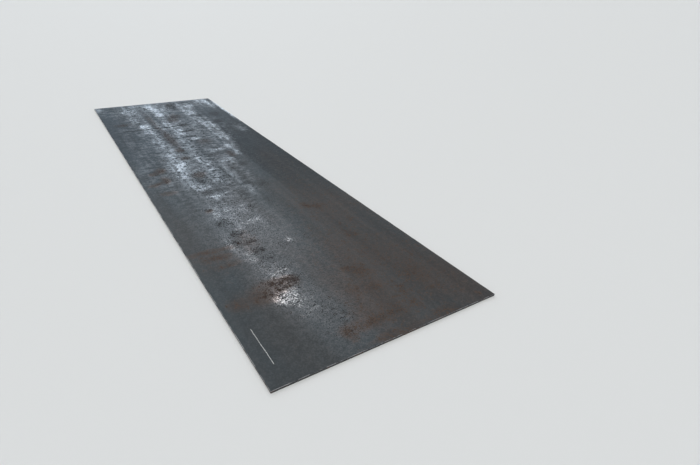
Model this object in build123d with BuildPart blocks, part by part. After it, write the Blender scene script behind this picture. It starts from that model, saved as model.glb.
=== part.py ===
"""Hot-rolled steel plate, sheared to size on all four sides, lying flat.

It is one solid. The origin is at the centre of the bottom face. +X runs along
the length, which is the rolling direction, +Y across the width and +Z up
through the thickness.

A plate shear doesn't leave a square edge. From the top down, each side has:

    roll-over   the top skin, drawn down round a small radius
    land        the smooth upright band that the blade cuts
    break       the rest of the thickness, which tears and leans in under it
"""

import os

from build123d import *

# Stock size, mm
LENGTH = 8000
WIDTH = 2200
THICKNESS = 20

# Sheared edge, mm
ROLL_OVER_RADIUS = 1.6
LAND_HEIGHT = 5.4
BREAK_SET_BACK = 1.2

# The blade's cut ends, and the break begins, at this height above the bottom
BREAK_HEIGHT = THICKNESS - ROLL_OVER_RADIUS - LAND_HEIGHT

with BuildPart() as steel_plate:
    # Break: widens from the bottom face up to the full size of the cut
    with BuildSketch(Plane.XY):
        Rectangle(LENGTH - 2 * BREAK_SET_BACK, WIDTH - 2 * BREAK_SET_BACK)
    with BuildSketch(Plane.XY.offset(BREAK_HEIGHT)) as cut_outline:
        Rectangle(LENGTH, WIDTH)
    loft(ruled=True)

    # Land: straight up from there to the top face
    extrude(cut_outline.sketch, amount=THICKNESS - BREAK_HEIGHT)

    # Roll-over: the top arris all the way round
    top_face = steel_plate.faces().sort_by(Axis.Z)[-1]
    fillet(top_face.edges(), ROLL_OVER_RADIUS)

steel_plate.part.label = "steel_plate"

os.makedirs("parts", exist_ok=True)
export_step(steel_plate.part, "parts/steel_plate.step")
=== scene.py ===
"""The looks of a hot-rolled steel plate: its skin, its sheared edges, the floor, the light and the camera.

All lengths are in metres. +X runs along the length of the plate, which is the
rolling direction, +Y across its width, and +Z up. The floor is at z = 0.

Marks on the top face are placed by two distances: "along" from the -X end, and
"across" from the +Y side.
"""

import math

import bpy
import numpy as np
from mathutils import Matrix, Vector


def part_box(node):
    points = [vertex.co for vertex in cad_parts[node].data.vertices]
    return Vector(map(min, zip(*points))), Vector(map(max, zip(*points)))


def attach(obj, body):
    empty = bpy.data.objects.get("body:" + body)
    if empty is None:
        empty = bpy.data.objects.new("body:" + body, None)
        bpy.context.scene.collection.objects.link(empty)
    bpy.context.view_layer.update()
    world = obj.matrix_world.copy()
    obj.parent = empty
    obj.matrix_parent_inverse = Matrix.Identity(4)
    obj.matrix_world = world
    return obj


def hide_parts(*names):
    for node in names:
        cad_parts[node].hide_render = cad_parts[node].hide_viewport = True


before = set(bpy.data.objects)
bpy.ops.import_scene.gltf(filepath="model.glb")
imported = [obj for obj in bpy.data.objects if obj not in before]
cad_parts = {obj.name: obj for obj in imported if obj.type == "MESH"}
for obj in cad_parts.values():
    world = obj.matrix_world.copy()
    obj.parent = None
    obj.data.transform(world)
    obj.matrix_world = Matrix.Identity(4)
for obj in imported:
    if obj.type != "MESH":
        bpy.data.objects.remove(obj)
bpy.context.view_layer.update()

# The plate, from the frame
LOW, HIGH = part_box("steel_plate")
HALF_LENGTH = (HIGH.x - LOW.x) / 2
HALF_WIDTH = (HIGH.y - LOW.y) / 2
THICKNESS = HIGH.z - LOW.z

# Section of the sheared edge
ROLL_OVER = 0.0016
LAND = 0.0054
BREAK_SET_BACK = 0.0012
BREAK_HEIGHT = THICKNESS - ROLL_OVER - LAND
BREAK_FOOT = 0.0005
CORNER_RADIUS = 0.0015

# Small relief of the edge: how far each kind reaches from its lowest to its highest, and over what length
LINE_WANDER = (0.0014, 0.05)
LINE_RIPPLE = (0.0008, 0.017)
GROOVES = (0.00012, 0.008)
TEARS = (0.00044, 0.011)
SCOOPS = (0.0004, 0.035)
BURR = (0.0006, 0.014)

# Nicks in the top corner: how many, and the least and most of their half length and depth
NICK_COUNT = 46
NICK_HALF_LENGTH = (0.008, 0.026)
NICK_DEPTH = (0.0003, 0.0012)

# How deep the long waves and the hollows of the rolled face go
WAVE_DEPTH = 0.00045
HOLLOW_DEPTH = 0.00025

# The mesh: how close its points are on the sides and on the faces, and how far in its first rings lie
SIDE_SPACING = 0.007
TOP_SPACING = 0.025
BOTTOM_SPACING = 0.1
SKIN_INSET = 0.0045
RIM_INSET = 0.012

# The mesh round the plate: its sides, the points inside each corner, and the share of a side that one takes
SIDES = 4
CORNER_STEPS = 3
CORNER_SHARE = 0.002

# How far down the land and down the break their rings lie, as shares
LAND_RINGS = (1 / 3, 2 / 3, 1)
BREAK_RINGS = (0.12, 0.32, 0.55, 0.78, 0.96)

# Each mark is: along, across, half length, half width, strength
RUST_MARKS = [
    (0.75, 1.38, 1.00, 0.46, 0.28),
    (0.60, 2.00, 1.00, 0.36, 0.24),
    (2.20, 1.75, 1.10, 0.52, 0.24),
    (3.70, 1.92, 0.90, 0.34, 0.16),
    (0.03, 1.05, 0.03, 0.25, 0.45),
    (0.04, 1.60, 0.04, 0.20, 0.45),
    (0.23, 0.78, 0.09, 0.06, 0.60),
    (0.25, 1.05, 0.06, 0.30, 0.60),
    (0.30, 1.20, 0.16, 0.34, 0.22),
    (0.30, 1.48, 0.10, 0.06, 0.40),
    (0.48, 1.52, 0.07, 0.08, 0.52),
    (0.63, 1.32, 0.08, 0.09, 0.48),
    (0.65, 1.80, 0.16, 0.14, 0.40),
    (0.67, 1.14, 0.08, 0.06, 0.55),
    (0.94, 1.35, 0.10, 0.09, 0.68),
    (1.02, 1.26, 0.06, 0.06, 0.55),
    (0.98, 0.16, 0.09, 0.09, 0.36),
    (1.00, 0.38, 0.09, 0.10, 0.46),
    (1.02, 0.30, 0.18, 0.24, 0.20),
    (1.07, 0.55, 0.12, 0.18, 0.50),
    (1.12, 0.70, 0.09, 0.08, 0.38),
    (1.57, 1.66, 0.06, 0.06, 0.60),
    (1.62, 0.30, 0.05, 0.12, 0.42),
    (1.72, 0.26, 0.28, 0.20, 0.22),
    (1.78, 0.24, 0.05, 0.12, 0.62),
    (1.92, 0.20, 0.04, 0.24, 0.52),
    (1.95, 0.62, 0.28, 0.12, 0.22),
    (2.34, 1.68, 0.08, 0.06, 0.60),
    (2.41, 1.57, 0.07, 0.06, 0.80),
    (2.80, 0.51, 0.06, 0.05, 0.50),
    (3.50, 0.24, 0.06, 0.12, 0.45),
    (3.81, 0.12, 0.05, 0.07, 0.40),
    (3.84, 0.17, 0.05, 0.12, 0.52),
    (3.92, 0.30, 0.11, 0.05, 0.66),
    (3.93, 0.74, 0.10, 0.10, 0.32),
    (4.19, 0.23, 0.08, 0.06, 0.56),
    (4.29, 0.32, 0.10, 0.07, 0.60),
    (4.55, 1.42, 0.15, 0.06, 0.30),
    (4.62, 0.76, 0.08, 0.08, 0.34),
    (5.00, 0.78, 0.10, 0.06, 0.32),
    (5.25, 1.24, 0.14, 0.12, 0.24),
    (5.65, 0.79, 0.60, 0.08, 0.28),
    (6.66, 1.10, 0.15, 0.12, 0.24),
    (6.68, 0.26, 0.10, 0.13, 0.26),
    (6.75, 0.75, 0.50, 0.07, 0.26),
    (6.90, 1.22, 0.16, 0.14, 0.26),
]
DULL_MARKS = [
    (0.50, 0.82, 0.34, 0.16, 0.32),
    (1.06, 0.58, 0.22, 0.27, 0.48),
    (1.12, 0.73, 0.08, 0.07, 0.35),
    (2.10, 0.66, 0.90, 0.26, 0.22),
    (1.55, 0.68, 0.06, 0.08, 0.40),
    (1.72, 0.65, 0.08, 0.09, 0.45),
    (1.72, 1.22, 0.12, 0.08, 0.35),
    (1.93, 0.63, 0.07, 0.10, 0.50),
    (1.97, 0.50, 0.05, 0.06, 0.40),
    (2.14, 0.58, 0.07, 0.09, 0.50),
    (2.40, 1.42, 0.08, 0.06, 0.35),
    (2.43, 0.53, 0.09, 0.12, 0.50),
    (2.70, 0.97, 0.07, 0.06, 0.45),
    (2.78, 1.24, 0.15, 0.05, 0.35),
    (2.82, 0.50, 0.06, 0.05, 0.70),
    (3.28, 1.38, 0.14, 0.14, 0.52),
    (3.32, 0.72, 0.07, 0.17, 0.55),
    (3.36, 1.19, 0.09, 0.08, 0.50),
    (3.69, 0.70, 0.11, 0.08, 0.62),
    (3.80, 1.08, 0.60, 0.03, 0.45),
    (3.85, 0.19, 0.07, 0.13, 0.42),
    (3.93, 0.30, 0.12, 0.06, 0.46),
    (3.93, 0.73, 0.14, 0.13, 0.64),
    (3.95, 1.20, 0.09, 0.08, 0.52),
    (4.05, 1.43, 0.10, 0.09, 0.52),
    (4.20, 0.77, 0.10, 0.08, 0.42),
    (4.19, 0.23, 0.09, 0.08, 0.44),
    (4.30, 0.32, 0.12, 0.08, 0.46),
    (4.40, 1.12, 0.06, 0.14, 0.48),
    (4.55, 1.42, 0.18, 0.07, 0.48),
    (4.62, 0.76, 0.10, 0.09, 0.62),
    (4.62, 1.16, 0.10, 0.14, 0.56),
    (4.66, 0.46, 0.05, 0.09, 0.45),
    (4.88, 1.25, 0.07, 0.11, 0.50),
    (4.95, 0.80, 0.17, 0.07, 0.52),
    (5.27, 1.25, 0.20, 0.16, 0.50),
    (5.62, 1.13, 0.09, 0.14, 0.64),
    (5.70, 0.79, 0.66, 0.09, 0.60),
    (5.85, 0.28, 0.28, 0.06, 0.45),
    (5.93, 1.16, 0.06, 0.20, 0.70),
    (6.27, 1.83, 0.14, 0.11, 0.60),
    (6.30, 1.20, 0.16, 0.11, 0.55),
    (6.66, 1.10, 0.20, 0.13, 0.56),
    (6.68, 0.27, 0.12, 0.15, 0.55),
    (6.78, 0.74, 0.54, 0.07, 0.50),
    (6.78, 1.93, 0.22, 0.14, 0.60),
    (6.80, 1.60, 0.07, 0.16, 0.55),
    (6.90, 1.22, 0.20, 0.15, 0.58),
    (7.60, 0.72, 0.40, 0.06, 0.52),
    (7.65, 1.32, 0.45, 0.14, 0.64),
    (7.80, 1.56, 0.12, 0.07, 0.55),
]
# Worn, smoother scale. Its lighter colour is partly painted sheen, and its strongest small marks are painted
# highlights
POLISH_AND_SHEEN_MARKS = [
    (0.42, 0.76, 0.50, 0.26, 0.42),
    (1.00, 0.62, 0.50, 0.28, 0.34),
    (1.30, 1.08, 1.30, 0.30, 0.16),
    (2.20, 0.72, 1.00, 0.48, 0.46),
    (4.10, 0.80, 1.05, 0.62, 0.42),
    (4.10, 0.22, 1.30, 0.30, 0.07),
    (6.10, 1.00, 1.20, 0.72, 0.44),
    (6.30, 0.22, 1.30, 0.30, 0.05),
    (6.60, 1.95, 0.90, 0.28, 0.04),
    (7.70, 1.10, 0.60, 1.00, 0.46),
    (0.75, 0.62, 0.22, 0.11, 0.20),
    # A painted highlight, with painted sheen round it
    (0.89, 0.50, 0.085, 0.055, 0.95),
    (0.93, 0.57, 0.16, 0.14, 0.52),
    (1.20, 0.67, 0.14, 0.10, 0.32),
    (1.30, 0.60, 0.18, 0.17, 0.28),
    (1.65, 0.54, 0.20, 0.08, 0.42),
    (1.79, 1.03, 0.05, 0.05, 0.50),
    (1.95, 0.45, 0.25, 0.05, 0.44),
    (2.25, 0.66, 0.14, 0.06, 0.34),
    (2.36, 0.86, 0.07, 0.14, 0.30),
    (2.65, 0.62, 0.28, 0.18, 0.36),
    (2.72, 0.88, 0.12, 0.08, 0.32),
    (3.15, 0.72, 0.08, 0.15, 0.46),
    (3.20, 1.20, 0.15, 0.08, 0.38),
    (3.50, 0.62, 0.17, 0.08, 0.56),
    (4.00, 0.56, 0.42, 0.06, 0.48),
    (4.30, 0.95, 0.80, 0.05, 0.40),
    (4.30, 1.28, 0.12, 0.10, 0.42),
    (4.35, 0.64, 0.28, 0.07, 0.72),
    (4.57, 1.52, 0.12, 0.06, 0.50),
    (4.80, 1.30, 0.06, 0.14, 0.45),
    (4.83, 0.62, 0.14, 0.10, 0.46),
    (4.85, 1.50, 0.15, 0.12, 0.45),
    (5.40, 0.58, 0.45, 0.08, 0.45),
    (5.45, 1.60, 0.40, 0.12, 0.45),
    (5.47, 1.16, 0.05, 0.15, 0.50),
    (5.75, 2.05, 0.25, 0.08, 0.30),
    (5.85, 1.02, 0.22, 0.08, 0.50),
    (6.10, 1.58, 0.30, 0.12, 0.48),
    (6.15, 0.60, 0.30, 0.07, 0.50),
    (6.45, 0.57, 0.22, 0.08, 0.75),
    (6.45, 0.93, 0.22, 0.06, 0.55),
    (6.50, 1.54, 0.25, 0.10, 0.50),
    (6.95, 0.52, 0.30, 0.10, 0.45),
    (7.05, 1.55, 0.20, 0.10, 0.58),
    (7.06, 0.99, 0.14, 0.11, 0.66),
    # A thin strip of painted glint along the -Y side's top corner
    (7.10, 2.19, 0.90, 0.03, 0.95),
    (7.42, 0.98, 0.14, 0.13, 0.50),
    (7.48, 1.64, 0.20, 0.09, 0.60),
    (7.50, 0.50, 0.20, 0.12, 0.42),
    (7.50, 2.08, 0.25, 0.07, 0.60),
    (7.78, 0.94, 0.18, 0.13, 0.54),
    (7.85, 0.05, 0.15, 0.06, 0.55),
    (7.85, 2.00, 0.22, 0.14, 0.70),
]

# How far the outlines of the marks wander, and how sharply the marks end
WANDER_ALONG = 0.035
WANDER_ACROSS = 0.018
MARK_SHARPNESS = 1.4

# Beyond this line, drawn lengthwise, the scale is darker: by the first level, and farther on by the second
LANE_ACROSS = 1.57
LANE_SOFTNESS = 0.02
LANE_WANDER = 0.02
LANE_DIM_START = 2.0
LANE_DIM_FULL = 4.0
LANE_END_START = 5.8
LANE_END = 7.0
LANE_LEVELS = (0.88, 0.57)

# Where along the plate the pattern starts to be coarse, and where it is fully so
COARSE_START = 1.5
COARSE_FULL = 4.0

# Where along the plate the scale starts to be deeper and bluer, and where it is fully so
DEEP_START = 2.5
DEEP_FULL = 6.0

# Thin dark line drawn across part of the plate
DARK_LINE_ALONG = 6.27
DARK_LINE_START = 0.15
DARK_LINE_END = 1.35
DARK_LINE_WIDTH = 0.035
DARK_LINE_WANDER = 0.012
DARK_LINE_TAPERS = (0.1, 0.15)

# Chalk line, drawn lengthwise near one corner
CHALK_START = 0.217
CHALK_END = 0.660
CHALK_ACROSS = 0.128
CHALK_WIDTH = 0.0048
CHALK_WANDER = 0.0015
CHALK_TAPER = 0.01

# Colours of the rolled skin
COOL_SCALE = (0.053, 0.063, 0.069)
PLAIN_SCALE = (0.060, 0.063, 0.065)
DEEP_SHADE = (0.55, 0.66, 0.77)
# Worn scale, lightened as painted sheen
FINE_POLISH_AND_SHEEN = (0.143, 0.149, 0.157)
COARSE_POLISH_AND_SHEEN = (0.165, 0.185, 0.205)
# Specks of bare steel, partly painted glints
FINE_BARE_AND_GLINT = (0.52, 0.52, 0.525)
COARSE_BARE_AND_GLINT = (0.36, 0.385, 0.41)
DULL_SCALE = (0.030, 0.030, 0.031)
PIT = (0.018, 0.018, 0.019)
RUST_HAZE = (1.16, 0.97, 0.89)
DARK_RUST = (0.034, 0.026, 0.023)
LIGHT_RUST = (0.088, 0.062, 0.048)
RUBBED_STEEL = (0.42, 0.42, 0.42)
CHALK = (0.72, 0.74, 0.72)
SKIN_SPECULAR = 0.04

# Colours of the sheared edge, and of the floor
DARK_LAND = (0.060, 0.066, 0.072)
LIGHT_LAND = (0.12, 0.125, 0.13)
DARK_BREAK = (0.022, 0.023, 0.025)
LIGHT_BREAK = (0.060, 0.058, 0.057)
EDGE_RUST = (0.10, 0.056, 0.036)
PALE_FLOOR = (0.70, 0.70, 0.69)
FLOOR_ROUGHNESS = 0.9
FLOOR_REACH = 400.0

# Camera
CAMERA_PLACE = Vector((-6.0954, 1.9452, 2.5054))
CAMERA_HEADING = math.radians(-34.30)
CAMERA_TILT = math.radians(-29.14)
CAMERA_ROLL = math.radians(2.745)
LENS = 24.0
SENSOR = 36.0
FARTHEST_SEEN = 1000.0

# The room's brightness overhead and at the horizon, and how high the horizon's reaches, as a sine
ROOM_LEVEL = 0.30
HORIZON_LEVEL = 0.69
HORIZON_REACH = 0.50
ROOM_COLOUR = (0.97, 1.0, 1.03)

# Round soft lights, far away. Each is: turn and rise of its middle, its width (all in degrees), brightness
WARM_LIGHTS = {
    "key": (120, 62, 35, 5.4),
    "near_spot": (-24, 37, 14, 3.3),
    "near_wide": (-22, 34, 40, 1.1),
}
COOL_LIGHTS = {
    "far_spot": (-12.5, 18, 24, 1.5),
    "far_wide": (-13, 20, 50, 0.55),
    "back": (168, 26, 40, 0.8),
    "left": (80, 24, 40, 0.6),
    "right": (-100, 24, 40, 0.6),
}
WARM = (1.0, 0.97, 0.93)
COOL = (0.80, 1.0, 1.20)


def fade(share):
    """Eases a share from 0 to 1 so that it starts and ends level."""
    share = np.clip(share, 0, 1)
    return share * share * (3 - 2 * share)


def patchy(u, v, size_u, size_v, seed, around=None):
    """Smooth random values, -1 to 1, that change over size_u by size_v. With around, u is a closed loop."""
    side = 512
    table = np.random.default_rng(seed).uniform(-1, 1, (side, side))
    cells = side if around is None else max(1, round(around / size_u))
    step = size_u if around is None else around / cells
    a, b = u / step, v / size_v
    i, j = np.floor(a).astype(int), np.floor(b).astype(int)
    share_a, share_b = fade(a - i), fade(b - j)
    i0, i1 = i % cells % side, (i + 1) % cells % side
    j0, j1 = j % side, (j + 1) % side
    low = table[i0, j0] * (1 - share_a) + table[i1, j0] * share_a
    high = table[i0, j1] * (1 - share_a) + table[i1, j1] * share_a
    return low * (1 - share_b) + high * share_b


def face_dip(x, y):
    """How far the rolled face lies below its highest level, in long waves and shallow hollows."""
    waves = 0.5 + 0.5 * patchy(x, y, 0.9, 0.45, seed=11)
    hollows = 0.5 + 0.5 * patchy(x, y, 0.22, 0.16, seed=12)
    return WAVE_DEPTH * waves + HOLLOW_DEPTH * hollows


class Shell:
    """The plate's mesh while it is being made: its corners, its faces, and the zone of each face."""

    def __init__(self):
        self.corners = []
        self.faces = []
        self.zones = []
        self.count = 0

    def add_corners(self, x, y, z):
        """Adds points and returns their numbers."""
        self.corners.append(np.column_stack([x, y, z]))
        first = self.count
        self.count += len(x)
        return np.arange(first, self.count)

    def add_face(self, corners, zone):
        """Adds one face by the numbers of its corners, anticlockwise as seen from outside."""
        self.faces.append([int(c) for c in corners])
        self.zones.append(zone)

    def add_band(self, upper, lower, zone):
        """Joins two closed rings that have as many points."""
        count = len(upper)
        for k in range(count):
            n = (k + 1) % count
            self.add_face((lower[k], lower[n], upper[n], upper[k]), zone)

    def add_seam(self, outer, outer_at, inner, inner_at, zone, flip):
        """Joins two closed rings with different numbers of points, by their places round the plate."""
        i = j = 0
        while i < len(outer) or j < len(inner):
            next_outer = outer_at[i + 1] if i + 1 < len(outer) else outer_at[0] + SIDES
            next_inner = inner_at[j + 1] if j + 1 < len(inner) else inner_at[0] + SIDES
            a, b = outer[i % len(outer)], inner[j % len(inner)]
            if j >= len(inner) or (i < len(outer) and next_outer <= next_inner):
                i += 1
                face = (a, outer[i % len(outer)], b)
            else:
                j += 1
                face = (a, inner[j % len(inner)], b)
            self.add_face(face[::-1] if flip else face, zone)


def rim_places():
    """Where the edge's columns stand: side number, share of that side, and share of the corner after it."""
    places = []
    for side in range(SIDES):
        length = 2 * (HALF_LENGTH if side % 2 == 0 else HALF_WIDTH)
        count = round(length / SIDE_SPACING)
        places += [(side, k / count, 0.0) for k in range(count + 1)]
        places += [(side, 1.0, k / (CORNER_STEPS + 1)) for k in range(1, CORNER_STEPS + 1)]
    return np.array(places)


def rim_outline(places, inset):
    """Points round the plate at an inset from its sides. Far in, the corners are rounder, to mesh evenly."""
    side, share, turn = places.T
    radius = np.maximum(CORNER_RADIUS - inset, inset / 2)
    half_x, half_y = HALF_LENGTH - inset - radius, HALF_WIDTH - inset - radius
    facing = (side - 1 + turn) * math.pi / 2
    run = 2 * share - 1
    centre_x = np.choose(side.astype(int), [run * half_x, half_x, -run * half_x, -half_x])
    centre_y = np.choose(side.astype(int), [-half_y, run * half_y, half_y, -run * half_y])
    return centre_x + np.cos(facing) * radius, centre_y + np.sin(facing) * radius


def rim_distance(places):
    """Distance round the plate to each column, and all the way round."""
    x, y = rim_outline(places, np.zeros(len(places)))
    steps = np.hypot(np.diff(x, append=x[0]), np.diff(y, append=y[0]))
    return np.concatenate([[0.0], np.cumsum(steps)[:-1]]), steps.sum()


def handling_nicks(distance, around):
    """How deep the top corner is knocked back at each column, by small knocks in handling."""
    random = np.random.default_rng(21)
    depth = np.zeros(len(distance))
    for _ in range(NICK_COUNT):
        middle = random.uniform(0, around)
        half = random.uniform(*NICK_HALF_LENGTH)
        deep = random.uniform(*NICK_DEPTH)
        gap = np.abs((distance - middle + around / 2) % around - around / 2)
        depth = np.maximum(depth, deep * fade(1 - gap / half))
    return depth


def edge_rings(places):
    """The rings of the sheared section from the top face down to the bottom face: inset, height and zone."""
    distance, around = rim_distance(places)
    flat = np.zeros(len(places))

    def relief(kind, seed, level=0.0):
        """Relief of one kind along the edge, from 0 to its depth, different at each level."""
        depth, stretch = kind
        return depth * (0.5 + 0.5 * patchy(distance, flat + level, stretch, 0.01, seed, around))

    nick = handling_nicks(distance, around)
    break_line = BREAK_HEIGHT - (LINE_WANDER[0] + LINE_RIPPLE[0]) / 2
    break_line = break_line + relief(LINE_WANDER, 31) + relief(LINE_RIPPLE, 32)
    rings = [(flat + RIM_INSET, None, "face"), (flat + SKIN_INSET, None, "face")]
    for turn in np.linspace(0, math.pi / 2, 5):
        inset = ROLL_OVER * (1 - math.sin(turn)) + nick * math.cos(turn / 2)
        height = THICKNESS - ROLL_OVER * (1 - math.cos(turn)) - nick * math.cos(turn)
        rings.append((inset, height, "roll_over"))
    for share in LAND_RINGS:
        height = (THICKNESS - ROLL_OVER) * (1 - share) + break_line * share
        rings.append((relief(GROOVES, 33, share) + 0.5 * nick * (1 - share), height, "land"))
    for share in BREAK_RINGS:
        torn = relief(TEARS, 34, 2.3 * share) + relief(SCOOPS, 35, share)
        inset = BREAK_SET_BACK * share + torn * math.sin(math.pi * min(share + 0.15, 1))
        rings.append((inset, break_line * (1 - share) + BREAK_FOOT * share, "break"))
    rings.append((BREAK_SET_BACK + relief(BURR, 36), flat, "break"))
    rings.append((flat + RIM_INSET, flat, "underside"))
    return rings


def add_grid(shell, spacing, height_at, zone, flip, border, border_at):
    """Fills the middle of a face with a grid and joins it to the ring round it."""
    inset = RIM_INSET + spacing / 2
    count_x = round(2 * (HALF_LENGTH - inset) / spacing)
    count_y = round(2 * (HALF_WIDTH - inset) / spacing)
    x = np.linspace(-HALF_LENGTH + inset, HALF_LENGTH - inset, count_x + 1)
    y = np.linspace(-HALF_WIDTH + inset, HALF_WIDTH - inset, count_y + 1)
    grid_x, grid_y = (g.ravel() for g in np.meshgrid(x, y, indexing="ij"))
    numbers = shell.add_corners(grid_x, grid_y, height_at(grid_x, grid_y))
    numbers = numbers.reshape(count_x + 1, count_y + 1)
    for i in range(count_x):
        for j in range(count_y):
            face = (numbers[i, j], numbers[i + 1, j], numbers[i + 1, j + 1], numbers[i, j + 1])
            shell.add_face(face[::-1] if flip else face, zone)
    loop = [numbers[:-1, 0], numbers[-1, :-1], numbers[:0:-1, -1], numbers[0, :0:-1]]
    at = [side + np.arange(len(part)) / len(part) for side, part in enumerate(loop)]
    shell.add_seam(border, border_at, np.concatenate(loop), np.concatenate(at), zone, flip)


def build_plate():
    """The whole plate as one closed mesh, with its sheared section all the way round."""
    shell = Shell()
    places = rim_places()
    side, share, turn = places.T
    at = side + CORNER_SHARE / 2 + (1 - CORNER_SHARE) * share + CORNER_SHARE * turn
    numbers = []
    zones = []
    for inset, height, zone in edge_rings(places):
        x, y = rim_outline(places, inset)
        if height is None:
            height = THICKNESS - face_dip(x, y) * fade(inset / RIM_INSET)
        numbers.append(shell.add_corners(x, y, height))
        zones.append(zone)
    for k in range(len(numbers) - 1):
        shell.add_band(numbers[k], numbers[k + 1], zones[k + 1])
    add_grid(shell, TOP_SPACING, lambda x, y: THICKNESS - face_dip(x, y), "face", False, numbers[0], at)
    add_grid(shell, BOTTOM_SPACING, lambda x, y: 0 * x, "underside", True, numbers[-1], at)
    return shell, numbers, zones


def marks_field(marks, along, across, seed):
    """How strongly each point carries one kind of mark, from 0 to 1, with wandering outlines."""
    along = along + WANDER_ALONG * patchy(along, across, 0.11, 0.11, seed)
    across = across + WANDER_ACROSS * patchy(along, across, 0.12, 0.09, seed + 1)
    clear = np.ones(len(along))
    for middle_along, middle_across, half_length, half_width, strength in marks:
        reach = ((along - middle_along) / half_length) ** 2 + ((across - middle_across) / half_width) ** 2
        clear *= 1 - strength * np.exp(-reach ** MARK_SHARPNESS)
    return 1 - clear


def underside_marks(along, across, seed):
    """How strongly each point of the underside carries one kind of mark: large scattered patches."""
    return fade(0.5 * patchy(along, across, 0.7, 0.42, seed) + 0.1)


def carry(mesh, name, values):
    """Keeps one value for each corner of the mesh, under a name that its material reads."""
    mesh.attributes.new(name, "FLOAT", "POINT").data.foreach_set("value", values)


def plate_object():
    """The plate as a Blender object, with its marks as values at the mesh's corners."""
    shell, rings, ring_zones = build_plate()
    corners = np.concatenate(shell.corners)
    mesh = bpy.data.meshes.new("rolled_plate")
    mesh.from_pydata(corners.tolist(), [], shell.faces)
    materials = {"face": 0, "roll_over": 0, "underside": 0, "land": 1, "break": 1}
    mesh.polygons.foreach_set("material_index", [materials[z] for z in shell.zones])
    mesh.polygons.foreach_set("use_smooth", [True] * len(shell.faces))

    along, across = corners[:, 0] + HALF_LENGTH, HALF_WIDTH - corners[:, 1]
    below = corners[:, 2] < THICKNESS / 2
    kinds = {"rust": (RUST_MARKS, 41), "dull": (DULL_MARKS, 43), "polish_and_sheen": (POLISH_AND_SHEEN_MARKS, 45)}
    for name, (marks, seed) in kinds.items():
        top = marks_field(marks, along, across, seed)
        under = underside_marks(along, across, seed + 10)
        carry(mesh, name, np.where(below, under, top))
    for name, zone in (("arris", "roll_over"), ("land", "land")):
        inside = np.zeros(len(corners))
        for numbers, ring_zone in zip(rings, ring_zones):
            inside[numbers] = ring_zone == zone
        carry(mesh, name, inside)

    mesh.update()
    mesh.validate()
    plate = bpy.data.objects.new("rolled_plate", mesh)
    bpy.context.scene.collection.objects.link(plate)
    return plate


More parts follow.
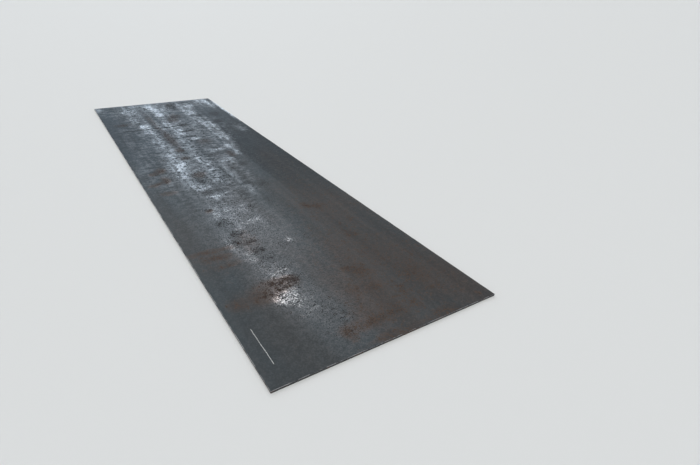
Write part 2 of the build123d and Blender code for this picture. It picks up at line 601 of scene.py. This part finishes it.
class Surface:
    """One material's nodes, made one at a time and joined as they are made."""

    def __init__(self, name):
        self.material = bpy.data.materials.new(name)
        self.material.use_nodes = True
        tree = self.material.node_tree
        self.nodes, self.links = tree.nodes, tree.links
        self.shader = self.nodes["Principled BSDF"]
        self.here = self.nodes.new("ShaderNodeTexCoord").outputs["Object"]

    def feed(self, socket, value):
        """Joins another node to a socket, or sets its value."""
        if isinstance(value, bpy.types.NodeSocket):
            self.links.new(value, socket)
        else:
            socket.default_value = value

    def carried(self, name):
        """A value that the mesh carries at its corners."""
        node = self.nodes.new("ShaderNodeAttribute")
        node.attribute_name = name
        return node.outputs["Fac"]

    def combine(self, how, first, second):
        """Arithmetic on two values."""
        node = self.nodes.new("ShaderNodeMath")
        node.operation = how
        self.feed(node.inputs[0], first)
        self.feed(node.inputs[1], second)
        return node.outputs[0]

    def plus(self, first, second):
        """The sum of two values."""
        return self.combine("ADD", first, second)

    def minus(self, first, second):
        """What is left of one value when another is taken from it."""
        return self.combine("SUBTRACT", first, second)

    def times(self, first, second):
        """The product of two values."""
        return self.combine("MULTIPLY", first, second)

    def larger(self, first, second):
        """The larger of two values."""
        return self.combine("MAXIMUM", first, second)

    def gather(self, value, *clouds):
        """Adds clouds to a value, each as far from its middle as its strength says."""
        for cloud, strength in clouds:
            value = self.plus(value, self.times(self.minus(cloud, 0.5), strength))
        return value

    def rise(self, value, low, high, out_low=0.0, out_high=1.0):
        """Eases from out_low to out_high as the value goes from low to high."""
        node = self.nodes.new("ShaderNodeMapRange")
        node.interpolation_type = "SMOOTHSTEP"
        for socket, number in zip(node.inputs, (value, low, high, out_low, out_high)):
            self.feed(socket, number)
        return node.outputs[0]

    def near(self, value, middle, inner, outer):
        """1 where a value is nearer to the middle than the inner distance, easing to 0 at the outer one."""
        distance = self.combine("ABSOLUTE", self.minus(value, middle), 0.0)
        return self.rise(distance, inner, outer, 1.0, 0.0)

    def between(self, value, start, end, ease_in, ease_out):
        """1 between a start and an end, easing up from 0 after the start and down to 0 at the end."""
        begun = self.rise(value, start, start + ease_in)
        return self.times(begun, self.rise(value, end - ease_out, end, 1.0, 0.0))

    def cloud(self, size, detail=3.0, rough=0.5, shift=0.0):
        """Noise spread over 0 to 1. The size is one length, or one for each axis."""
        size = (size,) * 3 if isinstance(size, (int, float)) else size
        mapping = self.nodes.new("ShaderNodeMapping")
        self.feed(mapping.inputs["Vector"], self.here)
        mapping.inputs["Scale"].default_value = [1 / s for s in size]
        mapping.inputs["Location"].default_value = (shift, shift, shift)
        node = self.nodes.new("ShaderNodeTexNoise")
        self.feed(node.inputs["Vector"], mapping.outputs[0])
        node.inputs["Scale"].default_value = 1.0
        node.inputs["Detail"].default_value = detail
        node.inputs["Roughness"].default_value = rough
        return self.rise(node.outputs["Fac"], 0.3, 0.7)

    def wander(self, reach, size, detail=3.0, shift=0.0):
        """How far a line strays to one side or the other, up to its reach."""
        return self.rise(self.cloud(size, detail=detail, shift=shift), 0.0, 1.0, -reach, reach)

    def mix(self, share, first, second):
        """Blends two values."""
        node = self.nodes.new("ShaderNodeMix")
        self.feed(node.inputs["Factor"], share)
        self.feed(node.inputs["A"], first)
        self.feed(node.inputs["B"], second)
        return node.outputs["Result"]

    def tint(self, share, first, second):
        """Blends two colours."""
        node = self.nodes.new("ShaderNodeMix")
        node.data_type = "RGBA"
        for socket, value in zip((node.inputs[0], node.inputs[6], node.inputs[7]), (share, first, second)):
            self.feed(socket, (*value, 1.0) if isinstance(value, tuple) else value)
        return node.outputs[2]

    def filter(self, colour, through):
        """Multiplies a colour by another, as coloured glass does."""
        node = self.nodes.new("ShaderNodeVectorMath")
        node.operation = "MULTIPLY"
        self.feed(node.inputs[0], colour)
        self.feed(node.inputs[1], through)
        return node.outputs[0]

    def darken(self, colour, share):
        """Multiplies a colour by a value."""
        node = self.nodes.new("ShaderNodeVectorMath")
        node.operation = "SCALE"
        self.feed(node.inputs[0], colour)
        self.feed(node.inputs["Scale"], share)
        return node.outputs[0]

    def relief(self, millimetres):
        """Turns a height in millimetres into the shader's normal."""
        node = self.nodes.new("ShaderNodeBump")
        node.inputs["Strength"].default_value = 1.0
        node.inputs["Distance"].default_value = 0.001
        self.feed(node.inputs["Height"], millimetres)
        self.links.new(node.outputs[0], self.shader.inputs["Normal"])

    def finish(self, colour, metallic, roughness):
        """Feeds the shader and returns the material."""
        self.feed(self.shader.inputs["Base Color"], colour)
        self.feed(self.shader.inputs["Metallic"], metallic)
        self.feed(self.shader.inputs["Roughness"], roughness)
        return self.material


class Skin(Surface):
    """The rolled skin's nodes, with the places, marks and patterns that its looks share."""

    def __init__(self, name):
        super().__init__(name)
        split = self.nodes.new("ShaderNodeSeparateXYZ")
        self.links.new(self.here, split.inputs[0])
        self.along = self.plus(split.outputs["X"], HALF_LENGTH)
        self.across = self.minus(HALF_WIDTH, split.outputs["Y"])
        self.rust_here = self.carried("rust")
        self.dull_here = self.carried("dull")
        self.polish_and_sheen_here = self.carried("polish_and_sheen")

        # Drawn out along the rolling direction
        self.broad = self.cloud((1.4, 0.4, 1.0))
        self.bands = self.cloud((7.0, 0.16, 1.0), shift=3.0)
        self.streaks = self.cloud((1.6, 0.10, 1.0), detail=4.0, rough=0.6, shift=37.0)

        # Drawn out across the plate
        self.blots = self.cloud((0.15, 0.26, 1.0), detail=5.0, rough=0.68, shift=23.0)
        self.rows = self.cloud((0.06, 0.16, 1.0), rough=0.6, shift=7.0)
        self.dashes = self.cloud((0.050, 0.060, 1.0), detail=4.0, rough=0.78, shift=31.0)

        # Small, and even in every direction
        self.mottle = self.cloud(0.04, detail=4.0, rough=0.62)
        self.speck = self.cloud(0.013, detail=2.0, shift=11.0)
        self.pit = self.cloud(0.008, detail=1.0, shift=19.0)
        self.grain = self.cloud(0.005, detail=2.0, shift=5.0)

        # How coarse the pattern is: fine at the -X end, in bold cross rows from the middle on
        self.coarse = self.rise(self.along, COARSE_START, COARSE_FULL)


def lane_mask(s):
    """The side of the plate that is a shade darker, from a soft line along the plate to its -Y side."""
    place = s.minus(s.across, s.wander(LANE_WANDER, (0.8, 0.3, 1.0), shift=17.0))
    side = s.rise(place, LANE_ACROSS - LANE_SOFTNESS, LANE_ACROSS + LANE_SOFTNESS)
    return s.times(side, s.rise(s.along, LANE_END_START, LANE_END, 1.0, 0.0))


def dark_line_mask(s):
    """Where the thin dark line lies across the plate, broken up by the rolling pattern."""
    place = s.plus(s.along, s.wander(DARK_LINE_WANDER, (1.0, 0.3, 1.0), detail=2.0, shift=29.0))
    line = s.near(place, DARK_LINE_ALONG, DARK_LINE_WIDTH * 0.2, DARK_LINE_WIDTH * 0.8)
    line = s.times(line, s.between(s.across, DARK_LINE_START, DARK_LINE_END, *DARK_LINE_TAPERS))
    return s.times(line, s.rise(s.dashes, 0.1, 0.6, 0.35, 0.9))


def chalk_mask(s):
    """Where the chalk line lies, broken by the grain of the scale under it."""
    place = s.minus(s.across, s.wander(CHALK_WANDER, (0.15, 1.0, 1.0), detail=2.0))
    line = s.near(place, CHALK_ACROSS, CHALK_WIDTH * 0.35, CHALK_WIDTH * 0.6)
    line = s.times(line, s.between(s.along, CHALK_START, CHALK_END, CHALK_TAPER, CHALK_TAPER))
    return s.times(line, s.rise(s.cloud((0.010, 0.004, 1.0), rough=0.6), 0.1, 0.8, 0.15, 1.0))


def scale_colour(s):
    """The scale itself: from cool slate to plain grey, in faint bands, and deeper towards the +X end."""
    scale = s.tint(s.broad, COOL_SCALE, PLAIN_SCALE)
    level = s.times(s.rise(s.bands, 0.0, 1.0, 0.92, 1.08), s.rise(s.mottle, 0.0, 1.0, 0.95, 1.05))
    lane = s.rise(s.along, LANE_DIM_START, LANE_DIM_FULL, *LANE_LEVELS)
    level = s.times(level, s.mix(lane_mask(s), 1.0, lane))
    scale = s.darken(scale, s.times(level, s.rise(s.speck, 0.0, 1.0, 0.93, 1.07)))
    deep = s.rise(s.along, DEEP_START, DEEP_FULL)
    return s.tint(deep, scale, s.filter(scale, DEEP_SHADE))


def dull_mask(s):
    """Dull patches, which are close clusters of dark specks, and the thin dark line across."""
    large = s.gather(s.dull_here, (s.blots, 0.20), (s.dashes, 0.50), (s.mottle, 0.25))
    dull = s.gather(large, (s.speck, 0.50), (s.pit, 0.40), (s.grain, 0.20))
    return s.larger(s.rise(dull, 0.42, 0.70), dark_line_mask(s))


def wear_and_sheen_level(s, dull):
    """How worn the scale is, which also sets where its colour is lightened as painted sheen: broken up by
    rows, mottle and specks, and hardly at all where it is dull.
    """
    wear_and_sheen = s.gather(s.polish_and_sheen_here, (s.mottle, 0.16), (s.speck, 0.24))
    uneven = s.gather(0.0, (s.streaks, 0.24), (s.blots, 0.24), (s.rows, 0.26), (s.dashes, 0.28))
    uneven = s.times(uneven, s.rise(s.polish_and_sheen_here, 0.0, 0.20, 0.12, 1.0))
    wear_and_sheen = s.plus(wear_and_sheen, s.times(s.coarse, uneven))
    return s.times(wear_and_sheen, s.rise(dull, 0.0, 1.0, 1.0, 0.12))


def bare_and_glint_mask(s, wear_and_sheen):
    """Specks of nearly bare steel, partly painted glints, where the wear and painted sheen are strongest."""
    fine = s.gather(s.speck, (s.pit, 0.5))
    coarse = s.gather(s.dashes, (s.speck, 0.4))
    return s.times(s.rise(wear_and_sheen, 0.58, 1.0), s.rise(s.mix(s.coarse, fine, coarse), 0.30, 0.72))


def pit_mask(s):
    """Dark pits scattered through the worn parts with their painted sheen, larger where the pattern is
    coarse.
    """
    small = s.rise(s.gather(s.pit, (s.speck, 0.3), (s.grain, 0.15)), 0.72, 0.95)
    large = s.rise(s.gather(s.dashes, (s.speck, 0.5), (s.grain, 0.15)), 0.32, 0.14)
    return s.times(s.larger(small, s.times(s.coarse, large)), s.rise(s.polish_and_sheen_here, 0.15, 0.55))


def pepper_mask(s):
    """Clusters of dark specks in the brightest wear and painted sheen, where the pattern is fine."""
    specks = s.rise(s.gather(s.speck, (s.pit, 0.5), (s.grain, 0.15)), 0.34, 0.14)
    clusters = s.rise(s.gather(s.polish_and_sheen_here, (s.blots, 0.50), (s.mottle, 0.40)), 0.38, 0.85)
    return s.times(specks, s.mix(s.coarse, clusters, 0.0))


def rust_haze(s):
    """A soft warm haze over the rusty parts."""
    return s.rise(s.gather(s.rust_here, (s.broad, 0.06), (s.mottle, 0.10)), 0.0, 0.36)


def rust_bloom(s, haze):
    """Blooms of rust specks, where the rust is strongest and here and there in the haze."""
    scattered = s.rise(s.cloud(0.16, detail=5.0, rough=0.66, shift=41.0), 0.50, 1.0, 0.0, 0.64)
    bloom = s.larger(s.rust_here, s.times(scattered, haze))
    bloom = s.gather(bloom, (s.dashes, 0.30), (s.mottle, 0.45), (s.speck, 0.60), (s.pit, 0.30))
    return s.rise(bloom, 0.45, 0.76)


def corner_wear(s):
    """Bare steel along the top corner, where handling rubs it."""
    worn = s.gather(s.cloud(0.16), (s.mottle, 0.3), (s.speck, 0.3))
    return s.times(s.carried("arris"), s.rise(worn, 0.10, 0.85, 0.0, 0.9))


def skin_colour(s, polish_and_sheen, bare_and_glint, dull, pits, haze, bloom, worn, chalk):
    """The skin's colour, one look laid over another."""
    # The worn scale's lighter colour is partly painted sheen
    colour = s.tint(polish_and_sheen, scale_colour(s), s.tint(s.coarse, FINE_POLISH_AND_SHEEN, COARSE_POLISH_AND_SHEEN))
    # The bare specks are partly painted glints
    colour = s.tint(bare_and_glint, colour, s.tint(s.coarse, FINE_BARE_AND_GLINT, COARSE_BARE_AND_GLINT))
    colour = s.tint(s.times(dull, 0.70), colour, DULL_SCALE)
    colour = s.tint(s.times(pits, 0.80), colour, PIT)
    colour = s.tint(haze, colour, s.filter(colour, RUST_HAZE))
    rust = s.darken(s.tint(s.speck, DARK_RUST, LIGHT_RUST), s.rise(dull, 0.0, 1.0, 1.0, 0.62))
    colour = s.tint(s.times(bloom, 0.85), colour, rust)
    colour = s.tint(worn, colour, RUBBED_STEEL)
    return s.tint(chalk, colour, CHALK)


def skin_relief(s, wear_and_sheen, dull, bloom):
    """The skin's height in millimetres: mottle, specks, grain, fine rolling lines and raised rust."""
    rolled = s.plus(s.times(s.mottle, 0.12), s.times(s.speck, 0.09))
    height = s.times(rolled, s.rise(wear_and_sheen, 0.0, 0.5, 0.45, 1.0))
    height = s.plus(height, s.times(s.grain, 0.02))
    height = s.plus(height, s.times(s.cloud((0.3, 0.004, 1.0), detail=2.0), 0.01))
    height = s.plus(height, s.times(dull, -0.08))
    return s.plus(height, s.times(s.times(bloom, s.grain), 0.15))


def mill_scale():
    """Blue-grey rolling scale: streaked along the plate, worn smoother in bands with painted sheen and
    glints in its colour, dull and rusty in patches.
    """
    s = Skin("mill_scale")
    dull = dull_mask(s)
    wear_and_sheen = wear_and_sheen_level(s, dull)
    polish_and_sheen = s.rise(wear_and_sheen, -0.04, 1.0)
    pits = s.larger(pit_mask(s), pepper_mask(s))
    haze = rust_haze(s)
    bloom = rust_bloom(s, haze)
    rough_spots = s.larger(bloom, pits)
    worn = corner_wear(s)
    chalk = chalk_mask(s)

    metallic = s.mix(polish_and_sheen, 0.03, 0.80)
    metallic = s.mix(rough_spots, metallic, 0.0)
    metallic = s.mix(worn, metallic, 0.95)
    metallic = s.mix(chalk, metallic, 0.0)

    roughness = s.mix(polish_and_sheen, 0.60, 0.34)
    roughness = s.mix(s.times(dull, 0.8), roughness, 0.72)
    roughness = s.mix(rough_spots, roughness, 0.88)
    roughness = s.mix(worn, roughness, 0.34)
    roughness = s.mix(chalk, roughness, 0.95)

    s.relief(skin_relief(s, wear_and_sheen, dull, bloom))
    s.shader.inputs["Specular IOR Level"].default_value = SKIN_SPECULAR
    colour = skin_colour(s, polish_and_sheen, bare_and_glint_mask(s, wear_and_sheen), dull, pits, haze, bloom, worn, chalk)
    return s.finish(colour, metallic, roughness)


def sheared_edge():
    """The cut edge: a smooth drawn land over a torn, dark and lightly rusted break."""
    s = Surface("sheared_edge")
    land = s.carried("land")
    drawn = s.cloud((0.002, 0.002, 0.03))
    torn = s.cloud((0.004, 0.004, 0.010), detail=5.0, rough=0.65)
    patches = s.cloud(0.09, detail=4.0)

    land_colour = s.tint(drawn, DARK_LAND, LIGHT_LAND)
    break_colour = s.tint(torn, DARK_BREAK, LIGHT_BREAK)
    rust = s.times(s.rise(patches, 0.55, 0.95), s.rise(torn, 0.1, 0.7))
    colour = s.tint(s.times(rust, 0.8), s.tint(land, break_colour, land_colour), EDGE_RUST)

    metallic = s.mix(rust, s.mix(land, 0.35, 0.8), 0.0)
    roughness = s.mix(rust, s.mix(land, 0.65, 0.38), 0.85)
    s.relief(s.plus(s.times(torn, s.mix(land, 0.2, 0.015)), s.times(drawn, 0.02)))
    return s.finish(colour, metallic, roughness)


def floor_plane():
    """A plain pale floor that reaches past the horizon of every view."""
    reach = FLOOR_REACH
    mesh = bpy.data.meshes.new("floor")
    corners = [(-reach, -reach, 0), (reach, -reach, 0), (reach, reach, 0), (-reach, reach, 0)]
    mesh.from_pydata(corners, [], [(0, 1, 2, 3)])
    floor = bpy.data.objects.new("floor", mesh)
    bpy.context.scene.collection.objects.link(floor)
    s = Surface("pale_floor")
    floor.data.materials.append(s.finish((*PALE_FLOOR, 1.0), 0.0, FLOOR_ROUGHNESS))


def heading(turn, rise):
    """The direction at an angle from +X towards +Y, and an angle up."""
    return Vector((math.cos(rise) * math.cos(turn), math.cos(rise) * math.sin(turn), math.sin(rise)))


def room_light():
    """An even pale room, palest at the horizon."""
    world = bpy.data.worlds.new("room")
    bpy.context.scene.world = world
    world.use_nodes = True
    nodes, links = world.node_tree.nodes, world.node_tree.links
    split = nodes.new("ShaderNodeSeparateXYZ")
    links.new(nodes.new("ShaderNodeTexCoord").outputs["Generated"], split.inputs[0])
    level = nodes.new("ShaderNodeMapRange")
    level.interpolation_type = "SMOOTHSTEP"
    links.new(split.outputs["Z"], level.inputs[0])
    for socket, number in zip(level.inputs[1:], (0.0, HORIZON_REACH, HORIZON_LEVEL, ROOM_LEVEL)):
        socket.default_value = number
    background = nodes["Background"]
    background.inputs["Color"].default_value = (*ROOM_COLOUR, 1.0)
    links.new(level.outputs[0], background.inputs["Strength"])


def soft_light(name, turn, rise, width, brightness, colour):
    """A round soft light, so far away that it lights the whole plate from one direction."""
    lamp = bpy.data.lights.new(name, "SUN")
    lamp.angle = math.radians(width)
    lamp.energy = brightness * 2 * math.pi * (1 - math.cos(lamp.angle / 2))
    lamp.color = colour
    light = bpy.data.objects.new(name, lamp)
    towards = heading(math.radians(turn), math.radians(rise))
    light.rotation_euler = towards.to_track_quat("Z", "Y").to_euler()
    bpy.context.scene.collection.objects.link(light)


def place_camera():
    """The photograph's camera: a 24 mm lens on a 36 mm wide frame, looking down along the plate."""
    data = bpy.data.cameras.new("camera")
    data.lens = LENS
    data.sensor_width = SENSOR
    data.clip_end = FARTHEST_SEEN
    forward = heading(CAMERA_HEADING, CAMERA_TILT)
    level = forward.cross(Vector((0, 0, 1))).normalized()
    upright = level.cross(forward)
    right = level * math.cos(CAMERA_ROLL) + upright * math.sin(CAMERA_ROLL)
    up = right.cross(forward)
    camera = bpy.data.objects.new("camera", data)
    turn = Matrix((right, up, -forward)).transposed().to_4x4()
    camera.matrix_world = Matrix.Translation(CAMERA_PLACE) @ turn
    bpy.context.scene.collection.objects.link(camera)
    bpy.context.scene.camera = camera


bpy.context.scene.view_settings.view_transform = "Standard"
place_camera()
floor_plane()
room_light()
for colour, lights in ((WARM, WARM_LIGHTS), (COOL, COOL_LIGHTS)):
    for name, values in lights.items():
        soft_light(name, *values, colour)

plate = plate_object()
plate.data.materials.append(mill_scale())
plate.data.materials.append(sheared_edge())
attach(plate, "root")
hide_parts("steel_plate")
